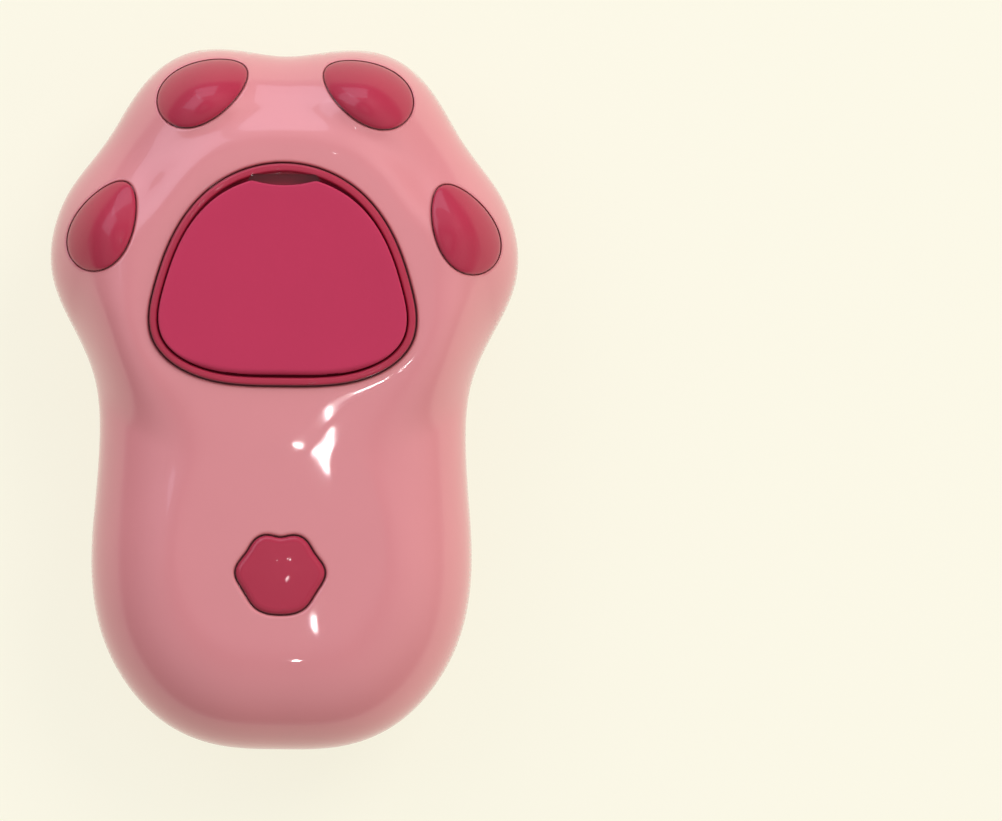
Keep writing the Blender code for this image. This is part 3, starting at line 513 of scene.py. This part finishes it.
a = np.linspace(np.pi, 0, 22)
crown = np.stack([
    CROWN_X + CROWN_WIDTH * np.sign(np.cos(a)) * np.abs(np.cos(a)) ** CROWN_POWER,
    CROWN_Z + CROWN_HEIGHT * np.sin(a) ** CROWN_POWER,
], axis=1)
section = np.vstack([
    [(-2.0, 37.5), (-2.0, 38.1), (0.29, 38.1)], crown,
    [(1.87, 40.3), (2.0, 40.2), (5.8, 40.2), (6.0, 40.0), (6.0, 37.5)],
])
rows = [level(ring(palm_radius, inset, PALM_Y, 360), z) for inset, z in section]
points, faces = skin(rows, wrap=True)
bezel = add("palm_ring_fine", points, faces, "housing", ["palm_ring"], "magenta_gloss")
print("bezel section:", len(section), "points")

# %% [markdown]
# A finger recess is sunk into the bezel at the toe end, and two ears carry the lid's pin at the tail
# end. The recess crosses the bezel's section, so a Boolean cut with a rounded block is the simple
# way. An ear is a flat cheek with a round top, swept across its own thickness.

# %% Cutters


def rounded_block(name, low, high, radius):
    """Box between two corners with rounded upright edges, used as a cutter."""
    size, middle = np.subtract(high, low) * MM, np.add(low, high) / 2 * MM
    shape = bmesh.new()
    bmesh.ops.create_cube(
        shape, size=1.0, matrix=Matrix.Translation(tuple(middle)) @ Matrix.Diagonal((*size, 1.0))
    )
    upright = [e for e in shape.edges if abs(e.verts[0].co.z - e.verts[1].co.z) > 1e-6]
    bmesh.ops.bevel(shape, geom=upright, offset=radius * MM, segments=5, affect="EDGES", profile=0.5)
    mesh = bpy.data.meshes.new(name)
    shape.to_mesh(mesh)
    shape.free()
    cutter = bpy.data.objects.new(name, mesh)
    collection.objects.link(cutter)
    cutter.hide_render = True
    cutter.display_type = "WIRE"
    return cutter


def cut(obj, cutter):
    """Take the cutter's solid away from the object's."""
    step = obj.modifiers.new(cutter.name, "BOOLEAN")
    step.operation = "DIFFERENCE"
    step.object = cutter


cut(bezel, rounded_block("finger_recess_cutter", (-7.0, 41.9, 38.6), (7.0, 44.7, 43.5), 1.2))
print("cutter at the toe end of", bezel.name)

# %% [markdown]
# The ears stand on the ledge, 10 mm to each side, and their round tops are centred on the pin.

# %% Hinge ears
HINGE_Y, HINGE_Z, EAR_X, EAR_HALF, EAR_RADIUS = 6.25, 42.1, 10.0, 0.8, 0.85

dome = arc((HINGE_Y, HINGE_Z), (EAR_RADIUS, EAR_RADIUS), 0, 180, 17)
ear = np.vstack([[(HINGE_Y - EAR_RADIUS, 40.0), (HINGE_Y + EAR_RADIUS, 40.0)], dome])
for number, side in enumerate((-1, 1), start=1):
    cheeks = (side * EAR_X - EAR_HALF, side * EAR_X + EAR_HALF)
    rows = [np.column_stack([np.full(len(ear), x), ear]) for x in cheeks]
    points, faces = skin(rows, tips=[(x, HINGE_Y, 41.5) for x in cheeks])
    add(f"hinge_ear_{number}", points, faces, "housing", ["palm_ring"], "magenta_gloss", 30)
print("ears of", len(ear), "points")

# %% [markdown]
# ## Lid
# The lid is a soft plate that fits the bezel. Its outline is the palm's moved inwards, and a large
# circle bites the finger notch out of it. The soft minimum `m(a, b) = -k log(e^(-a/k) + e^(-b/k))`
# rounds the corners where the two meet, which a plain minimum would leave sharp.

# %% Outline of the lid
NOTCH_REACH, NOTCH_RADIUS = 42.5, 22.0  # the circle's middle from the palm's middle, and its radius
SOFT = 0.12

lid_angle = turn(480)
towards = np.cos(lid_angle)  # 1 at the toe end, -1 at the tail end
inset = 2.05 + np.where(towards > 0, 0.75 * towards**4, 0.35 * towards**2)
lid_r = palm_radius(lid_angle) - inset * stretch(palm_radius, lid_angle)
reach = NOTCH_REACH * towards
missed_by = NOTCH_REACH**2 - NOTCH_RADIUS**2
notch_r = np.where(reach > 37, reach - np.sqrt(np.maximum(reach**2 - missed_by, 0)), 99.0)
lid_r = -SOFT * np.log(np.exp(-(lid_r - 20) / SOFT) + np.exp(-(notch_r - 20) / SOFT)) + 20
print("lid reaches from", lid_r.min().round(1), "to", lid_r.max().round(1))

# %% [markdown]
# The lid's skin runs from the middle of its underside, round its edge and to the middle of its top.
# The edge's radius grows towards the tail end, where the lid swings past the bezel. Two pockets
# under the tail end make room for the ears.

# %% Lid
LID_UNDER, LID_TOP = 41.0, 43.8


def lid_ring(e, z):
    """Lid outline moved inwards by e, from its own slope dr/da, at height z."""
    closed = np.concatenate([lid_r[-1:], lid_r, lid_r[:1]])
    rate = np.gradient(closed, lid_angle[1] - lid_angle[0])[1:-1]
    r = lid_r - e * np.sqrt(1 + (rate / lid_r) ** 2)
    height_of = np.broadcast_to(z, r.shape)
    return np.stack([r * np.sin(lid_angle), PALM_Y + r * np.cos(lid_angle), height_of], axis=1)


edge_radius = 0.4 + 0.8 * (1 - fade(-towards, 0.45, 0.75))
edge = [(e, LID_UNDER) for e in (8.0, 3.0, 0.25)]
edge += list(arc((0.25, LID_UNDER + 0.25), (0.25, 0.25), 270, 180, 5))
for v in np.linspace(0, np.pi / 2, 12):
    edge.append((edge_radius * (1 - np.cos(v)), LID_TOP - edge_radius * (1 - np.sin(v))))
edge += [(e, LID_TOP) for e in (1.7, 3.0, 8.0)]
tips = [(0, PALM_Y, LID_UNDER), (0, PALM_Y, LID_TOP)]
points, faces = skin([lid_ring(e, z) for e, z in edge], tips=tips)
lid = add("fill_cap_fine", points, faces, "lid", ["fill_cap"], "magenta_matte_lid", 50)
for number, side in enumerate((-1, 1), start=1):
    low, high = (side * EAR_X - 1.1, 2.0, 40.0), (side * EAR_X + 1.1, 8.4, 43.05)
    pocket = rounded_block(f"ear_pocket_cutter_{number}", low, high, 0.2)
    cut(lid, pocket)
    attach(pocket, "lid")
print("lid:", np.ptp(points, axis=0).round(1))

# %% [markdown]
# ## Pump button
# The pump button is a small paw shape with a hidden flange that stops it under the shell, and a stem
# that squeezes the bulb. Its rows go from the flange up a straight side, round a quarter ellipse and
# over a low dome that follows the shell's crown.

# %% Button
FLANGE_LOW, FLANGE_TOP, FLANGE_WIDTH = 37.2, 38.4, 1.2
EDGE_INSET, EDGE_LOW, EDGE_RISE, DOME_RISE = 1.3, -0.35, 0.9, 0.2


def button_ring(inset):
    """Button outline moved inwards by an inset."""
    return ring(button_radius, inset, BUTTON_Y, 240)


centre, rim, flange = np.array((0.0, BUTTON_Y)), button_ring(0.0), button_ring(-FLANGE_WIDTH)
rows = [level((rim + centre) / 2, FLANGE_LOW), level(flange, FLANGE_LOW)]
rows += [level(flange, FLANGE_TOP), level(rim, FLANGE_TOP), lifted(rim, -1.0), lifted(rim, EDGE_LOW)]
for v in np.linspace(0, np.pi / 2, 12)[1:]:
    rows.append(lifted(button_ring(EDGE_INSET * (1 - np.cos(v))), EDGE_LOW + EDGE_RISE * np.sin(v)))
for s in (0.7, 0.5, 0.3, 0.12):
    shrunk = centre + (button_ring(EDGE_INSET) - centre) * s
    rows.append(lifted(shrunk, EDGE_LOW + EDGE_RISE + DOME_RISE * (1 - s**2)))
top_tip = lifted(centre[None], EDGE_LOW + EDGE_RISE + DOME_RISE)[0]
points, faces = skin(rows, tips=[(0, BUTTON_Y, FLANGE_LOW), top_tip])
add("button_fine", points, faces, "pump_button", ["button"], "magenta_gloss")
print("button:", np.ptp(rim, axis=0).round(1))

# %% [markdown]
# The stem is a plain pin with a small bevel, turned about the button's own axis.

# %% Button stem
STEM_LOW, STEM_TOP = 32.4, 37.7

stem = [(2.5, STEM_LOW), (3.0, STEM_LOW + 0.5), (3.0, STEM_TOP)]
tips = [(0, BUTTON_Y, STEM_LOW), (0, BUTTON_Y, STEM_TOP)]
points, faces = skin(turned(stem, (0.0, BUTTON_Y), 48), tips=tips)
add("button_stem", points, faces, "pump_button", ["button"], "magenta_gloss")
print("stem:", np.ptp(points, axis=0).round(1))

# %% [markdown]
# ## Brush pad
# Forty-eight soft bristles stand on the pad. An array could place a cone, but the spacing changes
# from row to row, so each row states its offsets and they are mirrored. A bristle is a cone whose
# radius carries eight flutes, `r (1 + f |cos 4a|)`. The flutes fade out at the rounded tip, and a
# fillet widens the foot.

# %% Where the bristles stand
ROWS = (
    (-52.5, (6.0, 18.0)), (-40.3, (0.0, 12.2, 24.0)), (-28.1, (0.0, 12.2, 24.0)),
    (-16.1, (0.0, 12.2, 24.0)), (-3.7, (0.0, 12.2, 24.0)), (8.6, (12.9, 25.0)),
    (21.1, (6.2, 18.4, 30.3)), (31.7, (6.2, 18.4, 30.3)), (43.9, (0.0, 11.7, 23.6)),
    (55.5, (0.0, 12.4)),
)
spots = np.array(sorted({(side * x, y) for y, offsets in ROWS for x in offsets for side in (-1, 1)}))
print(len(spots), "bristles in", len(ROWS), "rows")

# %% [markdown]
# The tip stands at z = 0, where the brush rests, and the foot is sunk a little into the pad. Steps in
# height are short at the tip and at the foot, where the radius changes fast.

# %% Bristles
TIP_HEIGHT, BRISTLE_LENGTH, BRISTLE_FOOT = 1.2, 15.0, 15.2
TIP_RADIUS, TAPER, FILLET, FLUTE = 1.38, 1.3, 0.9, 0.11


def bristle(z, angle):
    """r(z, a) = (cone + fillet) * tip * (1 + f(z) (|cos 4a| - 0.6)), the tip half an ellipse."""
    t = np.clip((z - TIP_HEIGHT) / (BRISTLE_LENGTH - TIP_HEIGHT), 0, 1)
    r = TIP_RADIUS + TAPER * t**1.15 + FILLET * np.exp(-(BRISTLE_LENGTH - z) / 0.45)
    below = (TIP_HEIGHT - np.minimum(z, TIP_HEIGHT)) / (TIP_HEIGHT + 0.1)
    flute = FLUTE * (1 - fade(z, 2.0, 7.0))
    return r * np.sqrt(1 - below**2) * (1 + flute * (np.abs(np.cos(4 * angle)) - 0.6))


tip_steps = TIP_HEIGHT * (1 - np.sin(np.linspace(1.0, 0.0, 6) * np.pi / 2))
foot_steps = (14.2, 14.5, 14.75, 14.9, BRISTLE_LENGTH, BRISTLE_FOOT)
steps = np.concatenate([tip_steps, np.linspace(1.9, 13.6, 12), foot_steps])
z, a = np.meshgrid(steps, np.arange(48) * 2 * np.pi / 48, indexing="ij")
one = np.stack([bristle(z, a) * np.cos(a), bristle(z, a) * np.sin(a), z], axis=-1)
points, faces = skin(one, tips=[(0, 0, 0.0), (0, 0, BRISTLE_FOOT)])
shift = np.column_stack([spots, np.zeros(len(spots))])
many = (points[None] + shift[:, None]).reshape(-1, 3)
faces = [[i + n * len(points) for i in f] for n in range(len(spots)) for f in faces]
add("pad_bristles", many, faces, "housing", ["brush_pad"], "pink_silicone", 80)
print("bristles:", len(faces), "faces")

# %% [markdown]
# The sheet that carries the bristles is a flat skin between two outlines: the paw's, with a rounded
# edge, and a round hole for the roller ball. Both have the same number of points and the same
# direction, so rows in between are a plain mix of the two.

# %% Pad sheet
outer = np.vstack([[(4.9, 17.0)], arc((5.25, 15.35), (0.35, 0.35), 180, 270, 6)])
rows = [level(ring(body_radius, e, count=AROUND), z) for e, z in outer]
way = np.stack([np.sin(turn(AROUND)), np.cos(turn(AROUND))], axis=1)
lip = ((8.2, 15.0), (7.9, 15.03), (7.65, 15.25), (7.6, 15.6), (7.6, 17.0))
hole = [level(r * way + np.array((0.0, BALL_Y)), z) for r, z in lip]
sheet = [rows[-1] * (1 - s) + hole[0] * s for s in (0.1, 0.3, 0.55, 0.8)]
points, faces = skin([*rows, *sheet, *hole], wrap=True)
add("pad_sheet", points, faces, "housing", ["brush_pad"], "pink_silicone")
print("pad sheet:", len(faces), "faces")

# %% [markdown]
# ## Roller ball
# A steel ball rolls shampoo onto the coat. Round it lie a thin dark seal and a flat pink collar. All
# three are turned about the valve's upright axis. The ball could be an ordinary sphere, but here it
# has many narrow rings, so that its mirror finish shows no facets.

# %% Collar and seal
collar = np.vstack([
    [(7.2, 19.6), (7.2, 14.7), (8.4, 14.7)], arc((8.4, 14.3), (0.35, 0.4), 80, -70, 8),
    [(8.2, 13.92), (6.6, 13.9)], arc((6.25, 14.2), (0.3, 0.3), 270, 180, 6), [(5.95, 19.6)],
])
points, faces = skin(turned(collar)[::-1], wrap=True)
add("ball_collar_fine", points, faces, "housing", ["ball_collar"], "pink_gloss_shell")
seal = [
    (5.85, 15.5), (5.85, 14.05), (5.75, 13.95), (5.3, 13.95), (5.15, 14.05), (5.15, 14.3), (5.7, 15.5),
]
points, faces = skin(turned(seal)[::-1], wrap=True)
add("ball_seal_fine", points, faces, "housing", ["ball_seal"], "dark_rubber")
print("collar section:", len(collar), "points, seal section:", len(seal), "points")

# %% [markdown]
# The ball's profile is half a circle, and two tips close its poles.

# %% Ball
BALL_RADIUS, BALL_Z = 5.5, 16.4

ball = arc((0.0, BALL_Z), (BALL_RADIUS, BALL_RADIUS), -90, 90, 50)[1:-1]
tips = [(0, BALL_Y, BALL_Z - BALL_RADIUS), (0, BALL_Y, BALL_Z + BALL_RADIUS)]
points, faces = skin(turned(ball), tips=tips)
add("roller_ball_fine", points, faces, "ball", ["roller_ball"], "polished_steel", 80)
print("ball:", np.ptp(points, axis=0).round(1))

# %% [markdown]
# ## Finishes
# Moulded plastic, rubber and steel are never perfectly even. One recipe serves them all: a
# Principled shader, with wide noise in object coordinates that shifts colour and roughness a little,
# and fine noise that makes a faint relief. Image textures could do this too, but noise needs no
# file and no unwrapping.

# %% Recipe for a finish
WIDE_NOISE, RELIEF_DEPTH = 60.0, 0.0002


def finish(name, colour, roughness, relief=0.02, grain=900.0, cloud=0.05, uneven=0.08, **constants):
    """Principled material: colour * (1 +- cloud * noise), roughness * (1 +- uneven * noise), bump."""
    made = bpy.data.materials.new(name)
    made.use_nodes = True
    nodes, links = made.node_tree.nodes, made.node_tree.links
    shader = nodes["Principled BSDF"]
    place = nodes.new("ShaderNodeTexCoord")
    wide, fine = nodes.new("ShaderNodeTexNoise"), nodes.new("ShaderNodeTexNoise")
    wide.inputs["Scale"].default_value = WIDE_NOISE
    wide.inputs["Detail"].default_value = 3.0
    fine.inputs["Scale"].default_value = grain
    fine.inputs["Detail"].default_value = 4.0
    tone = nodes.new("ShaderNodeMix")
    tone.data_type = "RGBA"
    tone.name = "tone"
    tone.inputs["A"].default_value = (*[c * (1 - cloud) for c in colour], 1.0)
    tone.inputs["B"].default_value = (*[min(c * (1 + cloud), 1.0) for c in colour], 1.0)
    spread = nodes.new("ShaderNodeMapRange")
    spread.inputs["To Min"].default_value = roughness * (1 - uneven)
    spread.inputs["To Max"].default_value = roughness * (1 + uneven)
    bump = nodes.new("ShaderNodeBump")
    bump.inputs["Strength"].default_value = relief
    bump.inputs["Distance"].default_value = RELIEF_DEPTH
    for noise in (wide, fine):
        links.new(place.outputs["Object"], noise.inputs["Vector"])
    links.new(wide.outputs["Fac"], tone.inputs["Factor"])
    links.new(wide.outputs["Fac"], spread.inputs["Value"])
    links.new(fine.outputs["Fac"], bump.inputs["Height"])
    links.new(tone.outputs["Result"], shader.inputs["Base Color"])
    links.new(spread.outputs["Result"], shader.inputs["Roughness"])
    links.new(bump.outputs["Normal"], shader.inputs["Normal"])
    for key, value in constants.items():
        shader.inputs[key.replace("_", " ").title().replace("Ior", "IOR")].default_value = value
    return made


print("finishes start with", len(bpy.data.materials), "materials in the file")

# %% [markdown]
# The glossy parts have a sharp clear coat over a softer base, which gives crisp highlights with a
# soft glow round them. The lid and the silicone have no coat, so they look matte.

# %% Finishes
shell_pink = finish("glossy pink shell", (0.70, 0.255, 0.272), 0.34, 0.015, 500, 0.03,
                    coat_weight=0.8, coat_roughness=0.03)
magenta = finish("glossy magenta", (0.43, 0.027, 0.064), 0.36, 0.015, 500, 0.04,
                 coat_weight=0.5, coat_roughness=0.03, specular_ior_level=0.25)
lid_red = finish("soft matte magenta", (0.50, 0.026, 0.086), 0.55, 0.12, 1400, 0.04)
silicone = finish("matte pink silicone", (0.62, 0.195, 0.195), 0.5, 0.15, 900, 0.05)
steel = finish("polished steel", (0.40, 0.36, 0.31), 0.12, 0.03, 700, 0.08, metallic=1.0)
spring_steel = finish("drawn steel", (0.52, 0.51, 0.50), 0.28, 0.1, 1200, 0.06, metallic=1.0)
rubber = finish("dark rubber", (0.035, 0.022, 0.026), 0.5, 0.15, 1000, 0.15)
plastic = finish("pale moulded plastic", (0.72, 0.68, 0.65), 0.4, 0.08, 700, 0.04)
tube_silicone = finish("pale silicone", (0.78, 0.72, 0.68), 0.35, 0.06, 800, 0.04)
coat = shell_pink.node_tree.nodes["Principled BSDF"].inputs["Coat Roughness"].default_value
print("the shell's coat has a roughness of", round(coat, 3))

# %% [markdown]
# The rounded tips of the thin silicone get painted light: a paler tone stands in for the light that
# shines through them and the highlight on them. The tone is mixed with a pale pink by height: a smooth
# step from 4.2 mm down to 0.6 mm above the ground.

# %% Painted light on the bristle tips
# Where the painted light on the tips starts and ends, and how much of the pale pink it mixes in.
TIP_LIGHT_FROM, TIP_LIGHT_TO, TIP_LIGHT_SHARE = 0.0042, 0.0006, 0.45

nodes, links = silicone.node_tree.nodes, silicone.node_tree.links
split, ramp, tip = (nodes.new(f"ShaderNode{kind}") for kind in ("SeparateXYZ", "MapRange", "Mix"))
tip.data_type = "RGBA"
ramp.interpolation_type = "SMOOTHSTEP"
limits = {"From Min": TIP_LIGHT_FROM, "From Max": TIP_LIGHT_TO, "To Min": 0.0, "To Max": TIP_LIGHT_SHARE}
for key, value in limits.items():
    ramp.inputs[key].default_value = value
# The pale pink is painted light: the glow and highlight of the thin tips.
tip.inputs["B"].default_value = (0.86, 0.52, 0.50, 1.0)
coordinates = next(n for n in nodes if n.type == "TEX_COORD")
links.new(coordinates.outputs["Object"], split.inputs["Vector"])
links.new(split.outputs["Z"], ramp.inputs["Value"])
links.new(ramp.outputs["Result"], tip.inputs["Factor"])
links.new(nodes["tone"].outputs["Result"], tip.inputs["A"])
links.new(tip.outputs["Result"], nodes["Principled BSDF"].inputs["Base Color"])
print("silicone has", len(nodes), "nodes")

# %% [markdown]
# Each engineering node has a slot in the record, and the same slot names the finish. The hidden
# nodes get theirs too, because they show when the lid opens. A cutter takes the look of what it
# cuts.

# %% Give every piece its finish
LOOKS = {
    "pink_gloss_shell": shell_pink, "magenta_gloss": magenta, "magenta_matte_lid": lid_red,
    "pink_silicone": silicone, "polished_steel": steel, "spring_steel": spring_steel,
    "dark_rubber": rubber, "pale_plastic": plastic, "pale_silicone": tube_silicone,
}
slot_of = {part["node"]: part["material_slot"] for part in frame["record"]["subparts"]}
for name, node in frame["nodes"].items():
    node.data.materials.clear()
    node.data.materials.append(LOOKS[slot_of[name]])
    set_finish(node, slot_of[name])
for obj in collection.objects:
    cutter_look = lid_red if "pocket" in obj.name else magenta
    obj.data.materials.append(LOOKS[obj["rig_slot"]] if "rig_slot" in obj else cutter_look)
print(len(LOOKS), "finishes")

# %% [markdown]
# ## Stage
# The brush lies in plain soft light on a pale cream floor. The floor glows a little itself, so that
# shadows on it stay faint. The Standard view keeps the saturated pinks, which a filmic view would
# grey.

# %% Floor
scene = bpy.context.scene
scene.view_settings.view_transform = "Standard"
bpy.ops.mesh.primitive_plane_add(size=40.0, location=(0, 0, -0.0002))
floor = bpy.context.active_object
floor.name = "floor"
cream = finish("cream floor", (0.14, 0.13, 0.11), 0.9, 0.0, 200, 0.004,
               emission_color=(1.0, 0.985, 0.83, 1.0), emission_strength=0.82)
floor.data.materials.append(cream)
print("floor", floor.name)

# %% [markdown]
# The surround is a ramp by height. It is bright at the horizon, behind the brush in a side view, and
# between 30 and 60 degrees up, where it shapes the shoulders. It is dark overhead, so that the flat
# glossy faces keep their own colour.

# %% Surround
SKY = ((0.0, 1.0), (0.12, 0.6), (0.35, 0.45), (0.62, 0.9), (0.84, 0.9), (0.95, 0.30), (1.0, 0.16))
SKY_STRENGTH = 0.62

world = bpy.data.worlds.new("surround")
scene.world = world
world.use_nodes = True
nodes, links = world.node_tree.nodes, world.node_tree.links
way, split, sky = (nodes.new(f"ShaderNode{kind}") for kind in ("TexCoord", "SeparateXYZ", "ValToRGB"))
for place, grey in SKY:
    stop = sky.color_ramp.elements.new(place) if 0 < place < 1 else sky.color_ramp.elements[int(place)]
    stop.color = (grey, grey * (0.90 + 0.06 * grey), grey * (0.90 + 0.04 * grey), 1.0)
links.new(way.outputs["Generated"], split.inputs["Vector"])
links.new(split.outputs["Z"], sky.inputs["Fac"])
links.new(sky.outputs["Color"], nodes["Background"].inputs["Color"])
nodes["Background"].inputs["Strength"].default_value = SKY_STRENGTH
print("surround of", len(SKY), "stops")

# %% [markdown]
# Four large lamps give the light its direction: a key and a warm side on the right, and two cool
# ones at the toe end and on the left, which tint the valley. The five small ones high above make the
# long streak on the handle and the little spots, as ceiling lights do.

# %% Lamps


def lamp(name, place, width, length, power, colour=(1.0, 1.0, 1.0), spin=0.0, glossy=True):
    """Area lamp width x length in metres at a place, facing the brush and spun by some degrees."""
    data = bpy.data.lights.new(name, "AREA")
    data.shape = "RECTANGLE"
    data.size, data.size_y, data.energy, data.color = width, length, power, colour
    obj = bpy.data.objects.new(name, data)
    facing = (Vector((0.0, 0.0, 0.03)) - Vector(place)).to_track_quat("-Z", "Y")
    obj.location = place
    obj.rotation_euler = (facing @ Euler((0.0, 0.0, math.radians(spin))).to_quaternion()).to_euler()
    obj.visible_camera, obj.visible_glossy = False, glossy
    scene.collection.objects.link(obj)


lamp("soft_key", (0.8, 0.9, 1.3), 0.8, 0.8, 12.5, glossy=False)
lamp("warm_side", (1.3, -0.2, 0.6), 0.9, 0.7, 4.5, (1.0, 0.95, 0.90), glossy=False)
lamp("cool_top", (-0.2, 1.3, 0.7), 1.2, 0.8, 5.0, (0.85, 0.80, 1.0))
lamp("cool_side", (-1.0, 0.8, 1.2), 1.2, 1.2, 6.5, (0.85, 0.78, 1.0))
lamp("streak_low", (0.088, -0.057, 2.5), 0.007, 0.061, 0.12, spin=9.0)
lamp("streak_high", (0.012, -0.018, 2.5), 0.007, 0.030, 0.055, spin=26.0)
lamp("spot_tail_1", (0.056, -0.227, 2.5), 0.008, 0.014, 0.04)
lamp("spot_tail_2", (0.014, -0.843, 2.5), 0.025, 0.06, 0.4)
lamp("spot_toes", (0.121, 0.444, 2.5), 0.012, 0.02, 0.08)

print(len(bpy.data.lights), "lamps")

# %% [markdown]
# The camera looks straight down from far away with a long lens, so the upright sides hardly show.

# %% Camera
camera = bpy.data.objects.new("camera", bpy.data.cameras.new("camera"))
scene.collection.objects.link(camera)
camera.data.lens = 600.0
camera.data.sensor_width = 36.0
frame_width = 0.1990
away = frame_width * camera.data.lens / camera.data.sensor_width
camera.location = (0.0434, -0.00165, 0.030 + away)
camera.rotation_euler = (0.0, 0.0, math.radians(0.57))
camera.data.clip_start, camera.data.clip_end = 0.05, 20.0
scene.camera = camera
print("camera", [round(c, 3) for c in camera.location])

# %% [markdown]
# ## Finish
# The last cell brings the scene up to date.

# %% Bring the scene up to date
bpy.context.view_layer.update()
